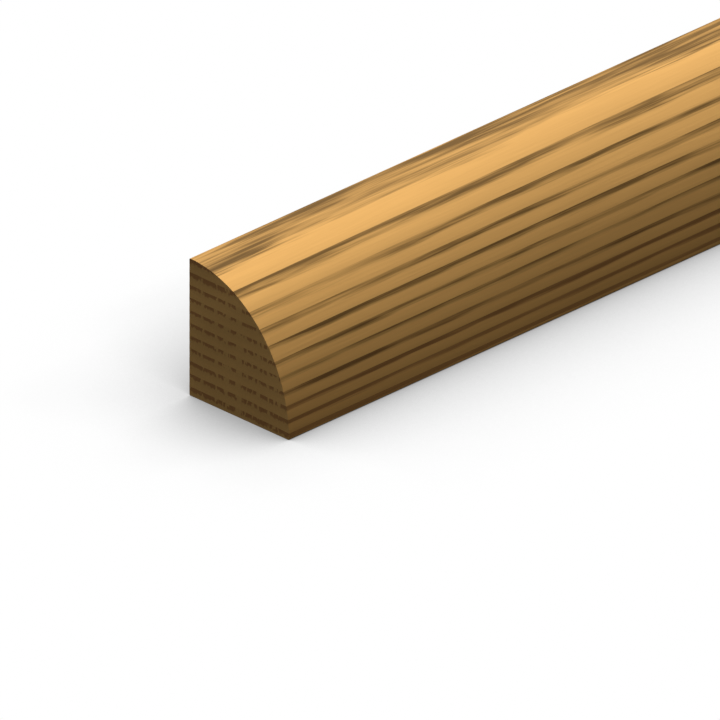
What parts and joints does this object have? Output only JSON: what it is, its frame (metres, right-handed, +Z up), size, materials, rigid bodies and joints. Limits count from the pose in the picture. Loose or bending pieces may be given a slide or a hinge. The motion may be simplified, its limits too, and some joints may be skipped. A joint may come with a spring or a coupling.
{
  "type": "quarter round moulding",
  "caption": "Straight solid wood moulding with a quarter round section: two flat faces at a right angle and one rounded face, to cover the joint between a wall and a floor.",
  "frame": {"origin": "on the floor, at the middle of the stick's length and of its floor face's width", "axes": "+X along the stick, +Y out of the wall face, -Y towards the toe of the rounded face, +Z up"},
  "size_m": [2.4384, 0.0174, 0.019],
  "materials": {
    "wood": "planed and lightly sanded bare wood with straight grain"
  },
  "bodies": {
    "root": {"quarter_round": "wood"}
  },
  "joints": []
}
